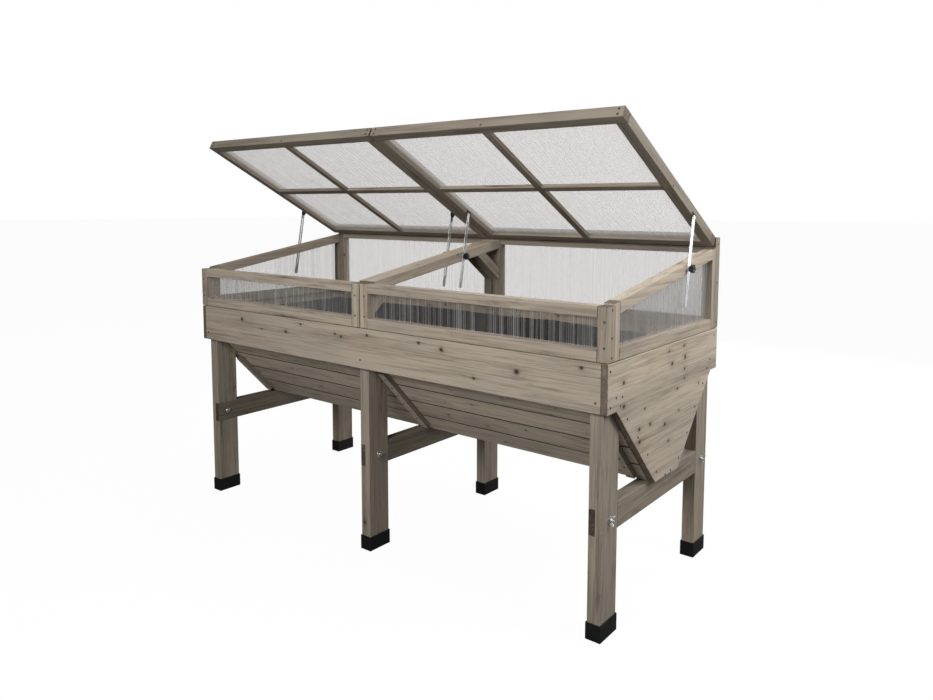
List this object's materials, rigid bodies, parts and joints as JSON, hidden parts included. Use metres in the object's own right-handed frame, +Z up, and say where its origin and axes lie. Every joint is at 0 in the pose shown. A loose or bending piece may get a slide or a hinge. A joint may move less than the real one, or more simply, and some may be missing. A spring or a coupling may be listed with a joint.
{
  "type": "cold frame",
  "caption": "Glazed timber cold frame on a raised V-shaped trough planter with legs; glazed lids hinge up at the back and slotted stays hold them open.",
  "frame": {"origin": "on the ground, under the middle of the planter", "axes": "+X to the right along the trough, +Y towards the hinged back, +Z up"},
  "size_m": [1.8424, 0.744, 1.3959],
  "materials": {
    "planter_wood": "grey-washed softwood with knots, matt",
    "frame_wood": "grey-washed softwood with knots, matt",
    "foot_rubber": "black, matt",
    "liner_fabric": "black non-woven fabric, matt",
    "glazing": "translucent white twin-wall sheet with fine flutes",
    "bracket_steel": "black, semi-gloss",
    "stay_steel": "bright zinc plate",
    "knob_plastic": "black, satin"
  },
  "bodies": {
    "planter": {"leg_front_left": "planter_wood", "leg_front_mid": "planter_wood", "leg_front_right": "planter_wood", "leg_back_left": "planter_wood", "leg_back_mid": "planter_wood", "leg_back_right": "planter_wood", "foot_front_left": "foot_rubber", "foot_front_mid": "foot_rubber", "foot_front_right": "foot_rubber", "foot_back_left": "foot_rubber", "foot_back_mid": "foot_rubber", "foot_back_right": "foot_rubber", "stretcher_left": "planter_wood", "stretcher_mid": "planter_wood", "stretcher_right": "planter_wood", "apron_front": "planter_wood", "apron_back": "planter_wood", "end_panel_left": "planter_wood", "end_panel_right": "planter_wood", "trough_slat_front_1": "planter_wood", "trough_slat_front_2": "planter_wood", "trough_slat_front_3": "planter_wood", "trough_slat_front_4": "planter_wood", "trough_slat_back_1": "planter_wood", "trough_slat_back_2": "planter_wood", "trough_slat_back_3": "planter_wood", "trough_slat_back_4": "planter_wood", "trough_base": "planter_wood", "trough_liner": "liner_fabric", "front_frame_left": "frame_wood", "front_frame_right": "frame_wood", "back_frame_left": "frame_wood", "back_frame_right": "frame_wood", "end_frame_left": "frame_wood", "end_frame_right": "frame_wood", "front_pane_left": "glazing", "front_pane_right": "glazing", "back_pane_left": "glazing", "back_pane_right": "glazing", "end_pane_left": "glazing", "end_pane_right": "glazing", "mid_rail": "frame_wood", "mid_rail_back_brace": "frame_wood", "mid_rail_front_brace": "frame_wood"},
    "lid_left": {"lid_frame_left": "frame_wood", "lid_pane_left": "glazing", "stay_bracket_left_outer": "bracket_steel", "stay_bracket_left_inner": "bracket_steel"},
    "lid_right": {"lid_frame_right": "frame_wood", "lid_pane_right": "glazing", "stay_bracket_right_outer": "bracket_steel", "stay_bracket_right_inner": "bracket_steel"},
    "stay_arm_left_outer": {"stay_left_outer": "stay_steel"},
    "stay_arm_left_inner": {"stay_left_inner": "stay_steel"},
    "stay_arm_right_outer": {"stay_right_outer": "stay_steel"},
    "stay_arm_right_inner": {"stay_right_inner": "stay_steel"},
    "clamp_left_outer": {"stay_knob_left_outer": "knob_plastic"},
    "clamp_left_inner": {"stay_knob_left_inner": "knob_plastic"},
    "clamp_right_outer": {"stay_knob_right_outer": "knob_plastic"},
    "clamp_right_inner": {"stay_knob_right_inner": "knob_plastic"}
  },
  "joints": [
    {"name": "lid_left_hinge", "type": "hinge", "parent": "planter", "child": "lid_left", "pos_m": [-0.4515, 0.334, 1.046], "axis": [-1, 0, 0], "range_deg": [-38, 21.5]},
    {"name": "lid_right_hinge", "type": "hinge", "parent": "planter", "child": "lid_right", "pos_m": [0.4515, 0.334, 1.046], "axis": [-1, 0, 0], "range_deg": [-38, 21.5]},
    {"name": "stay_left_outer_pivot", "type": "hinge", "parent": "lid_left", "child": "stay_arm_left_outer", "pos_m": [-0.903, 0.13902, 1.11244], "axis": [1, 0, 0], "range_deg": [-29.7, 16.8]},
    {"name": "stay_left_inner_pivot", "type": "hinge", "parent": "lid_left", "child": "stay_arm_left_inner", "pos_m": [-0.039, 0.13902, 1.11244], "axis": [1, 0, 0], "range_deg": [-29.7, 16.8]},
    {"name": "stay_right_outer_pivot", "type": "hinge", "parent": "lid_right", "child": "stay_arm_right_outer", "pos_m": [0.903, 0.13902, 1.11244], "axis": [1, 0, 0], "range_deg": [-29.7, 16.8]},
    {"name": "stay_right_inner_pivot", "type": "hinge", "parent": "lid_right", "child": "stay_arm_right_inner", "pos_m": [0.039, 0.13902, 1.11244], "axis": [1, 0, 0], "range_deg": [-29.7, 16.8]},
    {"name": "stay_knob_left_outer_turn", "type": "hinge", "parent": "planter", "child": "clamp_left_outer", "pos_m": [-0.905, 0.112, 0.961], "axis": [-1, 0, 0], "range_deg": [-180, 180]},
    {"name": "stay_knob_left_inner_turn", "type": "hinge", "parent": "planter", "child": "clamp_left_inner", "pos_m": [-0.041, 0.112, 0.961], "axis": [-1, 0, 0], "range_deg": [-180, 180]},
    {"name": "stay_knob_right_outer_turn", "type": "hinge", "parent": "planter", "child": "clamp_right_outer", "pos_m": [0.905, 0.112, 0.961], "axis": [1, 0, 0], "range_deg": [-180, 180]},
    {"name": "stay_knob_right_inner_turn", "type": "hinge", "parent": "planter", "child": "clamp_right_inner", "pos_m": [0.041, 0.112, 0.961], "axis": [1, 0, 0], "range_deg": [-180, 180]}
  ],
  "couplings": [
    {"joint": "stay_left_outer_pivot", "follows": "lid_left_hinge", "ratio": 0.78},
    {"joint": "stay_left_inner_pivot", "follows": "lid_left_hinge", "ratio": 0.78},
    {"joint": "stay_right_outer_pivot", "follows": "lid_right_hinge", "ratio": 0.78},
    {"joint": "stay_right_inner_pivot", "follows": "lid_right_hinge", "ratio": 0.78}
  ]
}
